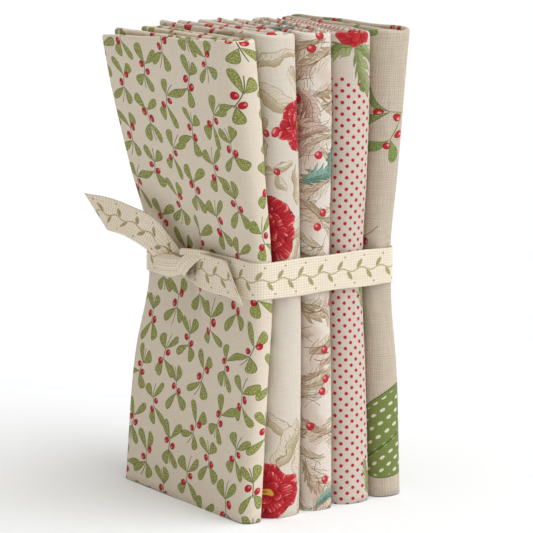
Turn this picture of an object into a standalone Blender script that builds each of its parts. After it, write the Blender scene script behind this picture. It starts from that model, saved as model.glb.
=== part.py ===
"""Fat quarter bundle: five folded cottons stand side by side, tied round the middle with woven tape.

The pieces stand on their cut edges, with their first fold at the top. X runs through the stack from the
front piece to the back one, Y from the rounded folds to the open ends, and Z is up.
"""

import math
from collections import namedtuple

import bmesh
import bpy
from mathutils import Vector

# Sizes are in millimetres, and MM turns them into the scene's metres.
MM = 0.001

# The tables below count X and Y from the middle of the stack's foot. The scene's origin is the middle of the
# box round everything, the tape's tails included, so each piece is placed back by this much.
BOX_MIDDLE_X = 1.9
BOX_MIDDLE_Y = 13.3

# A fat quarter is cut 500 x 550. It is folded over once at the top, then twice like a book.
CUT_WIDTH = 500.0
CUT_HEIGHT = 550.0
STACK_HEIGHT = CUT_HEIGHT / 2
FOLDED_WIDTH = CUT_WIDTH / 4

SHEET = 1.0  # one layer of cotton, thicker than the real one
SLOT = 0.3  # between the two layers of a leaf, which the top fold joins
LEAF = 2 * SHEET + SLOT
PIECE_GAP = 0.7  # between neighbours
SPINE_DRAWN_IN = 2.5  # how far the tape pulls the rounded folds in
ENDS_AT_TAPE = 58.5  # Y that the tape pulls the longest open ends in to
NOSE_SHARE = 0.45  # depth of a rounded fold, as a share of its piece's thickness there
MOST_NOSE = 11.0
FOLD_LENGTH = 4.0  # depth of the fold between the two back leaves
INNER_FOLD_SPACE = 1.2  # between the outer rounded fold and the inner one
MIDDLE_Y = 5.0  # every leaf's middle station, so that neighbours turn alike

# Where the pieces meet, along X, with each height's share of the tape's pull. The first table is for the
# rounded folds, at SPINE_Y, and the second for the open ends, at OPEN_Y. A meeting line is straight between.
SPINE_Y = -56.5
OPEN_Y = 62.5
Meet = namedtuple("Meet", "z pull front first second third fourth back")
SPINE_MEETS = [
    Meet(0, 0.0, -57.2, -42.0, -12.8, 9.7, 38.1, 59.8),
    Meet(80, 0.3, -51.6, -36.4, -11.8, 9.2, 35.3, 56.8),
    Meet(126, 1.0, -47.6, -32.3, -11.8, 8.9, 34.1, 53.3),
    Meet(150, 1.0, -47.9, -33.1, -12.1, 8.5, 34.2, 53.7),
    Meet(190, 0.5, -54.0, -37.3, -13.7, 8.2, 35.2, 57.6),
    Meet(235, 0.1, -61.0, -41.2, -16.3, 7.6, 35.6, 60.1),
    Meet(275, 0.0, -67.6, -45.8, -18.4, 5.6, 34.8, 62.2),
]
OPEN_MEETS = [
    Meet(0, 0.0, -57.4, -35.0, -9.0, 15.0, 38.0, 59.5),
    Meet(80, 0.3, -50.0, -28.5, -4.5, 16.0, 35.0, 55.5),
    Meet(126, 1.0, -41.5, -22.0, -1.0, 18.0, 34.8, 51.5),
    Meet(150, 1.0, -42.5, -21.5, 0.0, 20.0, 36.8, 52.5),
    Meet(190, 0.5, -53.0, -25.0, 3.5, 29.0, 44.5, 59.0),
    Meet(235, 0.1, -64.0, -28.0, 7.5, 42.0, 55.0, 68.5),
    Meet(275, 0.0, -72.0, -30.5, 10.5, 51.0, 63.0, 75.5),
]

# A piece's four leaves, in the order of its cloth: front leaf, round the outer fold to the back leaf, round
# the end fold to the third leaf, and round the inner fold to the second leaf, which ends inside.
Piece = namedtuple("Piece", "name colour front_end second_end fold_end front_top second_top third_top back_top")
PIECES = [
    Piece("fat_quarter_sprig", (0.84, 0.78, 0.69), 62.5, 60.5, 61.5, 272.0, 274.2, 273.6, 274.6),
    Piece("fat_quarter_bloom", (0.86, 0.80, 0.71), 62.5, 60.0, 61.0, 275.4, 274.0, 275.0, 274.4),
    Piece("fat_quarter_foliage", (0.80, 0.73, 0.64), 62.5, 59.5, 60.5, 275.0, 274.4, 273.8, 274.8),
    Piece("fat_quarter_dot", (0.85, 0.77, 0.70), 51.0, 55.0, 57.5, 274.4, 273.6, 274.4, 273.8),
    Piece("fat_quarter_linen", (0.62, 0.53, 0.43), 66.0, 68.0, 71.0, 273.8, 274.4, 273.4, 275.0),
]
CLOTH_ROUGHNESS = 0.9

SECOND_SHARE = (0.30, 0.33)  # where the second leaf lies between the outer ones, at the spine and the ends
THIRD_SHARE = (0.70, 0.69)
RIPPLE = 0.6  # how far a top fold wanders up and down
SPINE_STEPS = 6
FOLD_STEPS = 4

TAPE_COLOUR = (0.87, 0.79, 0.63)
TAPE_ROUGHNESS = 0.85
TAPE_WIDTH = 21.0
TAPE_THICK = 1.2
TAPE_Z = 138.0
TAPE_GAP = 0.45
CORNER_STEPS = 16

# The knot's two lumps: where the tape wraps round itself, and the throat that the right tail comes out of.
Lump = namedtuple("Lump", "x y z half_x half_y half_z")
KNOT_LUMPS = [
    Lump(-50.5, 20.0, 139.0, 5.6, 11.5, 8.2),
    Lump(-50.8, 4.5, 139.5, 4.6, 9.0, 6.8),
]

# Each tail from the knot to its slanted cut, by the two edges of the tape.
Edges = namedtuple("Edges", "upper_x upper_y upper_z lower_x lower_y lower_z")
LEFT_TAIL = [
    Edges(-51.0, 14.0, 144.5, -51.0, 24.0, 138.0),
    Edges(-52.5, 19.5, 152.8, -52.0, 29.0, 140.5),
    Edges(-54.5, 25.0, 160.0, -55.0, 37.5, 143.2),
    Edges(-57.0, 32.0, 164.8, -58.5, 46.0, 147.6),
    Edges(-60.0, 41.0, 167.8, -62.0, 56.8, 151.2),
    Edges(-64.0, 64.0, 171.8, -65.0, 66.0, 152.6),
    Edges(-67.0, 89.0, 172.3, -65.3, 68.5, 154.4),
]
RIGHT_TAIL = [
    Edges(-51.5, 8.0, 142.5, -51.5, 7.0, 136.5),
    Edges(-51.6, -3.0, 144.5, -51.6, 0.0, 133.8),
    Edges(-50.6, -13.5, 146.5, -50.8, -13.0, 128.6),
    Edges(-50.4, -24.5, 146.6, -50.6, -26.0, 126.9),
    Edges(-50.6, -35.0, 146.8, -51.0, -41.0, 126.4),
    Edges(-51.2, -39.0, 143.0, -51.8, -53.4, 123.9),
]


def between(table, column, z):
    """A column of a table of heights, read at z."""
    for low, high in zip(table, table[1:]):
        if z <= high.z:
            break
    share = min((z - low.z) / (high.z - low.z), 1.0)
    return getattr(low, column) + share * (getattr(high, column) - getattr(low, column))


def meeting_x(column, y, z):
    """X of the line where two pieces meet, or of the front or back of the stack."""
    spine = between(SPINE_MEETS, column, z)
    ends = between(OPEN_MEETS, column, z)
    return spine + (ends - spine) * (y - SPINE_Y) / (OPEN_Y - SPINE_Y)


def lean(column, z):
    """How much longer a meeting line is than its run along Y, which is what a gap grows by along X."""
    rise = meeting_x(column, 1.0, z) - meeting_x(column, 0.0, z)
    return math.hypot(rise, 1.0)


def drawn_in(end, z):
    """Y of an open end at a height, after the tape's pull."""
    return end - max(end - ENDS_AT_TAPE, 0.0) * between(OPEN_MEETS, "pull", z)


def ellipse_points(middle, half_x, half_y, steps, turn):
    """Points on half an ellipse, from -X to +X round its -Y end, or back round its +Y end when turn is 1."""
    points = []
    for step in range(1, steps):
        angle = math.pi * step / steps
        side = -math.cos(angle) if turn < 0 else math.cos(angle)
        points.append((middle[0] + half_x * side, middle[1] + turn * half_y * math.sin(angle)))
    return points


def leaf_plan(piece, columns, z):
    """The piece's middle line in plan at a height: (x, y) at each station, open end of the front leaf first."""
    half = LEAF / 2
    front_space = (half + PIECE_GAP / 2) * lean(columns[0], z)
    back_space = (half + PIECE_GAP / 2) * lean(columns[1], z)

    def front(y):
        return meeting_x(columns[0], y, z) + front_space

    def back(y):
        return meeting_x(columns[1], y, z) - back_space

    nose_y = -FOLDED_WIDTH / 2 + SPINE_DRAWN_IN * between(SPINE_MEETS, "pull", z) + half
    thickness = back(SPINE_Y) - front(SPINE_Y) + LEAF
    straight_y = nose_y + min(NOSE_SHARE * thickness, MOST_NOSE)

    def inside(shares, y):
        along = (y - SPINE_Y) / (OPEN_Y - SPINE_Y)
        share = shares[0] + (shares[1] - shares[0]) * along
        return front(y) + share * (back(y) - front(y))

    fold_y = drawn_in(piece.fold_end, z) - half
    fold_start = fold_y - FOLD_LENGTH
    front_end = drawn_in(piece.front_end, z)
    second_end = drawn_in(piece.second_end, z)

    def leaf(shape, start, end):
        return [(shape(y), y) for y in (start, MIDDLE_Y, end)]

    def third(y):
        return inside(THIRD_SHARE, y)

    def second(y):
        return inside(SECOND_SHARE, y)

    outer_half = (back(straight_y) - front(straight_y)) / 2
    outer_middle = (front(straight_y) + outer_half, straight_y)
    end_half = (back(fold_start) - third(fold_start)) / 2
    end_middle = (third(fold_start) + end_half, fold_start)
    inner_half = (third(straight_y) - second(straight_y)) / 2
    inner_middle = (second(straight_y) + inner_half, straight_y)
    inner_depth = straight_y - nose_y - LEAF - INNER_FOLD_SPACE

    plan = leaf(front, front_end, straight_y)
    plan += ellipse_points(outer_middle, outer_half, straight_y - nose_y, SPINE_STEPS, -1)
    plan += leaf(back, straight_y, fold_start)
    plan += ellipse_points(end_middle, end_half, FOLD_LENGTH, FOLD_STEPS, 1)
    plan += leaf(third, fold_start, straight_y)
    plan += reversed(ellipse_points(inner_middle, inner_half, inner_depth, FOLD_STEPS, -1))
    plan += leaf(second, straight_y, second_end)
    return plan


def leaf_tops(piece, stations):
    """Z of the top fold at each station: level along a leaf, with a small wander, and blended round the folds."""
    marks = [0, 2, 2 + SPINE_STEPS, 4 + SPINE_STEPS, 4 + SPINE_STEPS + FOLD_STEPS, 6 + SPINE_STEPS + FOLD_STEPS]
    marks += [6 + SPINE_STEPS + 2 * FOLD_STEPS, stations - 1]
    heights = [piece.front_top, piece.back_top, piece.third_top, piece.second_top]
    heights = [height for height in heights for _ in range(2)]
    tops = []
    for station in range(stations):
        for i in range(len(marks) - 1):
            if station <= marks[i + 1]:
                break
        share = (station - marks[i]) / (marks[i + 1] - marks[i])
        level = heights[i] + share * (heights[i + 1] - heights[i])
        tops.append(level - RIPPLE * (1 - math.cos(1.7 * station + piece.front_end)) / 2)
    return tops


def plan_normals(plan):
    """The unit vector to the cloth's outer side at each station."""
    normals = []
    for i in range(len(plan)):
        before = plan[max(i - 1, 0)]
        after = plan[min(i + 1, len(plan) - 1)]
        along = Vector((after[0] - before[0], after[1] - before[1])).normalized()
        normals.append((along.y, -along.x))
    return normals


def piece_mesh(piece, columns):
    """Vertices and faces of one folded piece: a hairpin of two layers, swept along the plan.

    A leaf twists on its way up, so every wall is split along the same diagonal and the walls stay parallel.
    """
    stations = len(leaf_plan(piece, columns, 0))
    tops = leaf_tops(piece, stations)
    half = LEAF / 2
    walls = (half, -half, -SLOT / 2, SLOT / 2)
    heights = [row.z for row in SPINE_MEETS[:-1]]
    plans = [leaf_plan(piece, columns, z) for z in heights]
    top_plan = leaf_plan(piece, columns, STACK_HEIGHT)
    plans.append(top_plan)
    normals = [plan_normals(plan) for plan in plans]
    levels = len(plans)

    vertices = []

    def put(level, station, offset, z):
        x, y = plans[level][station]
        nx, ny = normals[level][station]
        vertices.append((x + offset * nx, y + offset * ny, z))

    for station in range(stations):
        shoulder = tops[station] - half
        for offset in walls:
            for level in range(levels):
                put(level, station, offset, heights[level] if level < levels - 1 else shoulder)
        for angle in (math.pi / 4, math.pi / 2, 3 * math.pi / 4):
            put(levels - 1, station, half * math.cos(angle), shoulder + half * math.sin(angle))
        put(levels - 1, station, 0, shoulder + SLOT / 2)

    ring_size = 4 * levels + 4
    outer, inner, slot_inner, slot_outer = [[w * levels + k for k in range(levels)] for w in range(4)]
    arc = [4 * levels, 4 * levels + 1, 4 * levels + 2]
    apex = 4 * levels + 3
    ring = outer + arc + inner[::-1] + slot_inner + [apex] + slot_outer[::-1]
    faces = []
    for station in range(stations - 1):
        here = station * ring_size
        there = here + ring_size
        forward = top_plan[station + 1][1] > top_plan[station][1]
        for a, b in zip(ring, ring[1:] + ring[:1]):
            rising = vertices[here + b][2] > vertices[here + a][2]
            if rising == forward:
                faces += [(here + a, here + b, there + b), (here + a, there + b, there + a)]
            else:
                faces += [(here + a, here + b, there + a), (here + b, there + b, there + a)]
    cap = [(outer[k], outer[k + 1], slot_outer[k + 1], slot_outer[k]) for k in range(levels - 1)]
    cap += [(inner[k], slot_inner[k], slot_inner[k + 1], inner[k + 1]) for k in range(levels - 1)]
    cap.append((outer[-1], arc[0], arc[1], apex, slot_outer[-1]))
    cap.append((arc[1], arc[2], inner[-1], slot_inner[-1], apex))
    last = (stations - 1) * ring_size
    faces += [face[::-1] for face in cap]
    faces += [tuple(last + i for i in face) for face in cap]
    return vertices, faces


def fabric_material(name, colour, roughness):
    material = bpy.data.materials.new(name)
    material.use_nodes = True
    shader = material.node_tree.nodes["Principled BSDF"]
    shader.inputs["Base Color"].default_value = (*colour, 1)
    shader.inputs["Roughness"].default_value = roughness
    shader.inputs["Metallic"].default_value = 0
    return material


def mesh_object(name, vertices, faces, material):
    mesh = bpy.data.meshes.new(name)
    mesh.from_pydata([Vector(v) * MM for v in vertices], [], faces)
    work = bmesh.new()
    work.from_mesh(mesh)
    bmesh.ops.recalc_face_normals(work, faces=work.faces)
    work.to_mesh(mesh)
    work.free()
    mesh.materials.append(material)
    piece = bpy.data.objects.new(name, mesh)
    piece.location = (-BOX_MIDDLE_X * MM, -BOX_MIDDLE_Y * MM, 0)
    bpy.context.scene.collection.objects.link(piece)
    return piece


def hull(points):
    """The convex outline of flat points, anticlockwise."""
    points = sorted(set(points))

    def chain(order):
        line = []
        for p in order:
            while len(line) > 1:
                a, b = line[-2:]
                if (b[0] - a[0]) * (p[1] - a[1]) > (b[1] - a[1]) * (p[0] - a[0]):
                    break
                line.pop()
            line.append(p)
        return line[:-1]

    return chain(points) + chain(points[::-1])


def tape_route(points, distance):
    """The taut line round flat points that keeps its distance from them."""
    corners = []
    for x, y in hull(points):
        for step in range(CORNER_STEPS):
            angle = 2 * math.pi * step / CORNER_STEPS
            corners.append((x + distance * math.cos(angle), y + distance * math.sin(angle)))
    route = []
    for point in hull(corners):
        if not route or math.dist(point, route[-1]) > TAPE_THICK / 2:
            route.append(point)
    return route


def band_mesh(route):
    """The tape's closed band, upright along its route."""
    vertices = []
    faces = []
    count = len(route)
    for i, (x, y) in enumerate(route):
        before = Vector(route[i - 1])
        after = Vector(route[(i + 1) % count])
        along = (after - before).normalized()
        for side in (-1, 1):
            for edge in (-1, 1):
                out = side * TAPE_THICK / 2
                vertices.append((x + out * along.y, y - out * along.x, TAPE_Z + edge * TAPE_WIDTH / 2))
        here = 4 * i
        there = 4 * ((i + 1) % count)
        for a, b in ((0, 1), (1, 3), (3, 2), (2, 0)):
            faces.append((here + a, here + b, there + b, there + a))
    return vertices, faces


def tail_mesh(rows):
    """A free tail of tape, as a thin plate between its two edges."""
    uppers = [Vector((row.upper_x, row.upper_y, row.upper_z)) for row in rows]
    lowers = [Vector((row.lower_x, row.lower_y, row.lower_z)) for row in rows]
    vertices = []
    faces = []
    for i, (upper, lower) in enumerate(zip(uppers, lowers)):
        ahead = min(i + 1, len(rows) - 1)
        behind = max(i - 1, 0)
        along = uppers[ahead] + lowers[ahead] - uppers[behind] - lowers[behind]
        lift = along.cross(upper - lower).normalized() * TAPE_THICK / 2
        vertices += [upper + lift, lower + lift, lower - lift, upper - lift]
    for i in range(len(rows) - 1):
        here = 4 * i
        for a in range(4):
            b = (a + 1) % 4
            faces.append((here + a, here + b, here + 4 + b, here + 4 + a))
    faces.append((0, 1, 2, 3))
    last = 4 * (len(rows) - 1)
    faces.append((last, last + 3, last + 2, last + 1))
    return vertices, faces


def lump_mesh(lump):
    """One rounded lump of the knot."""
    work = bmesh.new()
    bmesh.ops.create_uvsphere(work, u_segments=16, v_segments=10, radius=1)
    work.verts.index_update()
    vertices = [
        (lump.x + v.co.x * lump.half_x, lump.y + v.co.y * lump.half_y, lump.z + v.co.z * lump.half_z)
        for v in work.verts
    ]
    faces = [tuple(v.index for v in face.verts) for face in work.faces]
    work.free()
    return vertices, faces


def join_to(target, other):
    """Adds a shape to target with a Boolean union, and hides it."""
    other.hide_render = True
    other.display_type = "WIRE"
    union = target.modifiers.new(other.name, "BOOLEAN")
    union.operation = "UNION"
    union.object = other


def build():
    for old in list(bpy.data.objects):
        bpy.data.objects.remove(old)

    held = []
    columns = SPINE_MEETS[0]._fields[2:]
    tape_low = TAPE_Z - TAPE_WIDTH / 2 - 2
    tape_high = TAPE_Z + TAPE_WIDTH / 2 + 2
    for piece, sides in zip(PIECES, zip(columns, columns[1:])):
        vertices, faces = piece_mesh(piece, sides)
        held += [(x, y) for x, y, z in vertices if tape_low < z < tape_high]
        mesh_object(piece.name, vertices, faces, fabric_material(piece.name, piece.colour, CLOTH_ROUGHNESS))

    cotton = fabric_material("woven_tape", TAPE_COLOUR, TAPE_ROUGHNESS)
    route = tape_route(held, TAPE_GAP + TAPE_THICK / 2)
    tape = mesh_object("tape", *band_mesh(route), cotton)
    shapes = [lump_mesh(lump) for lump in KNOT_LUMPS] + [tail_mesh(LEFT_TAIL), tail_mesh(RIGHT_TAIL)]
    names = ("knot_wrap", "knot_throat", "left_tail", "right_tail")
    for name, shape in zip(names, shapes):
        join_to(tape, mesh_object(name, *shape, cotton))


build()
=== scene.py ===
"""Looks of the fat quarter bundle: five folded printed cottons, tied round the middle with woven tape.

Each cotton is one thin sheet, folded over at the top and then twice like a book. It stands on its cut edges
with its outer fold to the front. X runs through the stack, Y from the folds to the open ends, Z up.
"""

from collections import namedtuple
from functools import partial
from math import cos, pi, radians, sin, sqrt, tan

import bpy
import numpy as np
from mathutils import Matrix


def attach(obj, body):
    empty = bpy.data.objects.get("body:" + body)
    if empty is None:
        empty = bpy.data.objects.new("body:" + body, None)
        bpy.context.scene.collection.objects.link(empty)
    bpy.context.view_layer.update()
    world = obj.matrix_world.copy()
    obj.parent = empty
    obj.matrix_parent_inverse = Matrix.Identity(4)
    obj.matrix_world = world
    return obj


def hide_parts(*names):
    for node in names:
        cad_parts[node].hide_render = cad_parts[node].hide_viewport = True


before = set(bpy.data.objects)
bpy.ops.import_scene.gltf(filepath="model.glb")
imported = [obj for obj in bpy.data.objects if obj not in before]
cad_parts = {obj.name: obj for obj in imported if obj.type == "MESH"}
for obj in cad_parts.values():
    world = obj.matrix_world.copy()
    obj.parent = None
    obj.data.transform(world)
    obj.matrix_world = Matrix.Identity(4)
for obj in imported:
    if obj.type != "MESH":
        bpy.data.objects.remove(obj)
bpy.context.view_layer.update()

# Sizes are in millimetres, and MM turns them into metres. X and Y count from the middle of the stack's foot,
# this far from the frame's origin.
MM = 0.001
STACK_X = -1.9
STACK_Y = -13.3

CUT_WIDTH = 500
CUT_HEIGHT = 550
STACK_HEIGHT = CUT_HEIGHT / 2
FOLDED_WIDTH = CUT_WIDTH / 4

# ---- the folded stack, as the solids have it
LEAF_THICK = 2.3
PIECE_GAP = 0.7
SPINE_DRAWN_IN = 2.5
ENDS_AT_TAPE = 58.5
NOSE_SHARE = 0.45
MOST_NOSE = 11
FOLD_LENGTH = 4
INNER_FOLD_SPACE = 2.4
SPINE_Y = -56.5
OPEN_Y = 62.5

Meet = namedtuple("Meet", "z pull front first second third fourth back")
SPINE_MEETS = [
    Meet(0, 0, -57.2, -42, -12.8, 9.7, 38.1, 60.8),
    Meet(80, 0.3, -51.6, -36.4, -11.8, 9.2, 35.3, 57.8),
    Meet(126, 1, -47.6, -32.3, -11.8, 8.9, 34.1, 53.3),
    Meet(150, 1, -47.9, -33.1, -12.1, 8.5, 34.2, 53.7),
    Meet(190, 0.5, -54, -37.3, -13.7, 8.2, 35.2, 57.6),
    Meet(235, 0.1, -61, -41.2, -16.3, 7.6, 35.6, 61.4),
    Meet(275, 0, -67.6, -45.8, -18.4, 5.6, 34.8, 65),
]
OPEN_MEETS = [
    Meet(0, 0, -57.4, -35, -9, 15, 38, 59.5),
    Meet(80, 0.3, -50, -28.5, -4.5, 16, 35, 55.5),
    Meet(126, 1, -41.5, -22, -1, 18, 34.8, 51.5),
    Meet(150, 1, -42.5, -21.5, 0, 20, 36.8, 52.5),
    Meet(190, 0.5, -53, -25, 3.5, 29, 44.5, 59),
    Meet(235, 0.1, -64, -28, 7.5, 42, 55, 68.5),
    Meet(275, 0, -72, -30.5, 10.5, 51, 63, 75.5),
]

# Where each piece's open ends and end fold lie, and how high its top folds stand.
Piece = namedtuple(
    "Piece", "name front_end second_end fold_end open_top front_top second_top third_top back_top"
)
PIECES = [
    Piece("sprig", 62.5, 60.5, 61.5, 268.9, 273, 272.2, 272.8, 272.8),
    Piece("bloom", 62.5, 60, 61, 275.4, 275.4, 275.4, 275.6, 275.2),
    Piece("foliage", 62.5, 59.5, 60.5, 275.6, 276, 275.2, 274.4, 275),
    Piece("dot", 51, 55, 57.5, 274.4, 274.4, 273.6, 274.4, 273.8),
    Piece("linen", 66, 68, 71, 273.8, 273.8, 274.4, 273.4, 275),
]
SECOND_SHARE = (0.30, 0.33)
CLOSE_SECOND_SHARE = (0.26, 0.25)  # the front piece's second leaf lies close behind its front one
ROOM_FOR_CREASES = 0.16  # and this share further back at the tape, behind the creases
THIRD_SHARE = (0.70, 0.69)

# ---- the real cloth inside those solids
CLOTH_THICK = 0.36
LAYER_OUT = 0.62  # from a leaf's middle to the middle of each of its two layers
LOFT_DEPTH = 16  # how far below a top fold its two layers stay apart
CROWN_RISE = 1.25  # a top fold is this much taller than half its breadth
ROOM_BELOW_TOP = 6  # where the room for the top folds is measured
ROOM_SHARE = 0.10  # a top fold's radius takes this share of that room
ROOM_KEPT = 0.38  # less this
UNEVEN = 0.35  # how unevenly the tops and feet lie
NOSE_POWER = 0.86  # under 1, a rounded fold is a little square
NOSE_DIP = 0.9  # a top fold sits this much lower at the outer fold
NOSE_DIP_REACH = 10  # in stations
ARC_STEPS = 8
LEAF_ROWS = 64

# How a sheet is walked, from the open edge of the front leaf to that of the second leaf. Loft is the radius
# of the top fold, and outward the share of it that swells to the printed side.
Stretch = namedtuple("Stretch", "name stations loft outward")
STRETCHES = [
    Stretch("front_leaf", 62, 1.5, 0),
    Stretch("outer_fold", 34, 1.5, 0.25),
    Stretch("back_leaf", 54, 1.5, 0),
    Stretch("end_fold", 14, 1.6, 0.6),
    Stretch("third_leaf", 24, 2.3, 0.5),
    Stretch("inner_fold", 12, 2, 0.5),
    Stretch("second_leaf", 24, 2.3, 0.5),
]


def curve(knots, values, at):
    """A smooth curve through values at knots."""
    knots = np.asarray(knots, float)
    values = np.asarray(values, float)
    slopes = np.gradient(values, knots)
    i = np.clip(np.searchsorted(knots, at, side="right") - 1, 0, len(knots) - 2)
    run = knots[i + 1] - knots[i]
    t = np.clip((at - knots[i]) / run, 0, 1)
    start = values[i] * (1 + 2 * t) + run * slopes[i] * t
    end = values[i + 1] * (3 - 2 * t) - run * slopes[i + 1] * (1 - t)
    return start * (1 - t) ** 2 + end * t**2


def column_of(table, column):
    return [getattr(row, column) for row in table]


def pull(table, z):
    return curve(column_of(table, "z"), column_of(table, "pull"), z)


def far_along(steps):
    """How far along a walk each point is."""
    return np.concatenate([[0], np.cumsum(steps)])


def printed_side(x, y):
    """X and Y of the direction to the printed side, all along a line."""
    along_x = np.gradient(x, axis=0)
    along_y = np.gradient(y, axis=0)
    length = np.hypot(along_x, along_y)
    return along_y / length, -along_x / length


def meeting(column, y, z):
    """X of the line where two pieces meet."""
    heights = column_of(SPINE_MEETS, "z")
    spine = curve(heights, column_of(SPINE_MEETS, column), z)
    ends = curve(heights, column_of(OPEN_MEETS, column), z)
    return spine + (ends - spine) * (y - SPINE_Y) / (OPEN_Y - SPINE_Y)


def station_shares():
    """Each stretch's stations as shares of its length. Only the last one's end has a station."""
    shares = [np.arange(s.stations) / s.stations for s in STRETCHES]
    shares[-1] = np.linspace(0, 1, STRETCHES[-1].stations)
    return shares


def plan_of(piece, sides, z):
    """X and Y of the folded sheet's middle line. Z has an axis for the stations and one for the rows."""
    half = LEAF_THICK / 2
    behind_nose = LEAF_THICK + INNER_FOLD_SPACE

    def beside(column, side):
        def leaf(y, z):
            lean = np.hypot(meeting(column, 1, z) - meeting(column, 0, z), 1)
            return meeting(column, y, z) + side * (half + PIECE_GAP / 2) * lean

        return leaf

    front = beside(sides[0], 1)
    back = beside(sides[1], -1)

    def inside(shares, more_at_tape=0):
        def leaf(y, z):
            share = shares[0] + (shares[1] - shares[0]) * (y - SPINE_Y) / (OPEN_Y - SPINE_Y)
            share = share + more_at_tape * pull(SPINE_MEETS, z)
            return front(y, z) + share * (back(y, z) - front(y, z))

        return leaf

    second = inside(CLOSE_SECOND_SHARE, ROOM_FOR_CREASES) if piece.name == "sprig" else inside(SECOND_SHARE)
    third = inside(THIRD_SHARE)

    def drawn_in(end, z):
        return end - max(end - ENDS_AT_TAPE, 0) * pull(OPEN_MEETS, z)

    def nose_y(z):
        return -FOLDED_WIDTH / 2 + SPINE_DRAWN_IN * pull(SPINE_MEETS, z) + half

    def straight_y(z):
        thickness = back(SPINE_Y, z) - front(SPINE_Y, z) + LEAF_THICK
        return nose_y(z) + np.minimum(NOSE_SHARE * thickness, MOST_NOSE)

    def fold_start(z):
        return drawn_in(piece.fold_end, z) - half - FOLD_LENGTH

    def run(leaf, start, end):
        def line(share, z):
            y = start(z) + (end(z) - start(z)) * share
            return leaf(y, z), y

        return line

    def turn(first, last, start, depth):
        def line(share, z):
            angle = np.pi * share
            side = np.sign(np.cos(angle)) * np.abs(np.cos(angle)) ** NOSE_POWER
            left = first(start(z), z)
            right = last(start(z), z)
            x = (left + right) / 2 - (right - left) / 2 * side
            return x, start(z) + depth(z) * np.sin(angle) ** NOSE_POWER

        return line

    lines = {
        "front_leaf": run(front, lambda z: drawn_in(piece.front_end, z), straight_y),
        "outer_fold": turn(front, back, straight_y, lambda z: nose_y(z) - straight_y(z)),
        "back_leaf": run(back, straight_y, fold_start),
        "end_fold": turn(back, third, fold_start, lambda z: FOLD_LENGTH),
        "third_leaf": run(third, fold_start, straight_y),
        "inner_fold": turn(third, second, straight_y, lambda z: nose_y(z) + behind_nose - straight_y(z)),
        "second_leaf": run(second, straight_y, lambda z: drawn_in(piece.second_end, z)),
    }
    starts = np.cumsum(column_of(STRETCHES, "stations"))[:-1]
    parts = []
    for stretch, share, rows in zip(STRETCHES, station_shares(), np.split(z, starts)):
        x, y = lines[stretch.name](share[:, None], rows)
        parts.append((x, y + 0 * x))
    return [np.concatenate(axis) for axis in zip(*parts)]


def along_stations(values_at):
    """A value for every station, from one at each end of each stretch."""
    ends_and_shares = zip(values_at, values_at[1:], station_shares())
    return np.concatenate([start + (end - start) * share for start, end, share in ends_and_shares])


def smoothed(values, reach):
    """A running mean over the stations, which keeps its length."""
    padded = np.pad(values, reach, mode="edge")
    return np.convolve(padded, np.ones(2 * reach + 1) / (2 * reach + 1), mode="valid")


# Creases on the outer fold and the two leaves beside it: where each starts and ends, half its breadth and how
# far it lifts. The places are millimetres from the outer fold, less than 0 on the front leaf, and the height.
CREASES = {
    "sprig": [
        (-74, 127, -42, 58, 6, -2.2), (-64, 127, -24, 70, 5, 1.6),
        (-84, 127, -92, 66, 7, -1.6), (-68, 147, -73, 190, 4.5, -3.2),
        (-80, 149, -92, 200, 6, -1.8), (-60, 150, -42, 208, 6, 1.5),
        (-46, 150, -24, 200, 6, -1.3), (-30, 126, -12, 88, 5, -1),
        (-100, 150, -112, 210, 7, 1.3),
    ],
    "bloom": [
        (-7, 127, -2, 84, 3.2, -0.9), (3, 127, 8, 96, 3, 0.6),
        (6, 149, 2, 190, 3.4, -0.7),
    ],
    "foliage": [(4, 127, 0, 90, 3.2, -0.8), (-6, 150, -3, 186, 3.4, -0.7)],
    "dot": [
        (-4, 127, 2, 88, 3.4, -0.8), (5, 149, 0, 184, 3.4, -0.7),
        (80, 160, 84, 230, 10, 1.1),
    ],
    "linen": [
        (-40, 160, -44, 230, 10, 1.1), (-5, 127, 1, 80, 4, -0.9),
        (7, 127, 10, 96, 4, 0.7), (2, 150, -5, 196, 4, -0.8),
        (46, 127, 66, 58, 7, -1.2), (74, 150, 60, 214, 8, -1.1),
        (84, 126, 96, 74, 6, 0.9), (30, 150, 36, 204, 7, 0.8),
    ],
}
CREASE_WIDENS = 0.8  # how much broader a crease is at its end
CREASE_START = 4  # how sharply it starts
CREASE_FADE = 1.3  # how it fades


def crease_heights(piece, from_fold, z):
    """How far the creases lift the cloth to its printed side."""
    lift = np.zeros(np.broadcast(from_fold, z).shape)
    for fold_from, z_from, fold_to, z_to, width, height in CREASES[piece.name]:
        run = np.array([fold_to - fold_from, z_to - z_from], float)
        length = np.hypot(*run)
        run /= length
        along = ((from_fold - fold_from) * run[0] + (z - z_from) * run[1]) / length
        across = (from_fold - fold_from) * run[1] - (z - z_from) * run[0]
        within = np.clip(along, 0, 1)
        spread = width * (1 + CREASE_WIDENS * within)
        fade = np.exp(-((np.clip(along, None, 0) * CREASE_START) ** 2)) * (1 - within) ** CREASE_FADE
        lift += height * fade * np.exp(-((across / spread) ** 2))
    return lift


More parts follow.
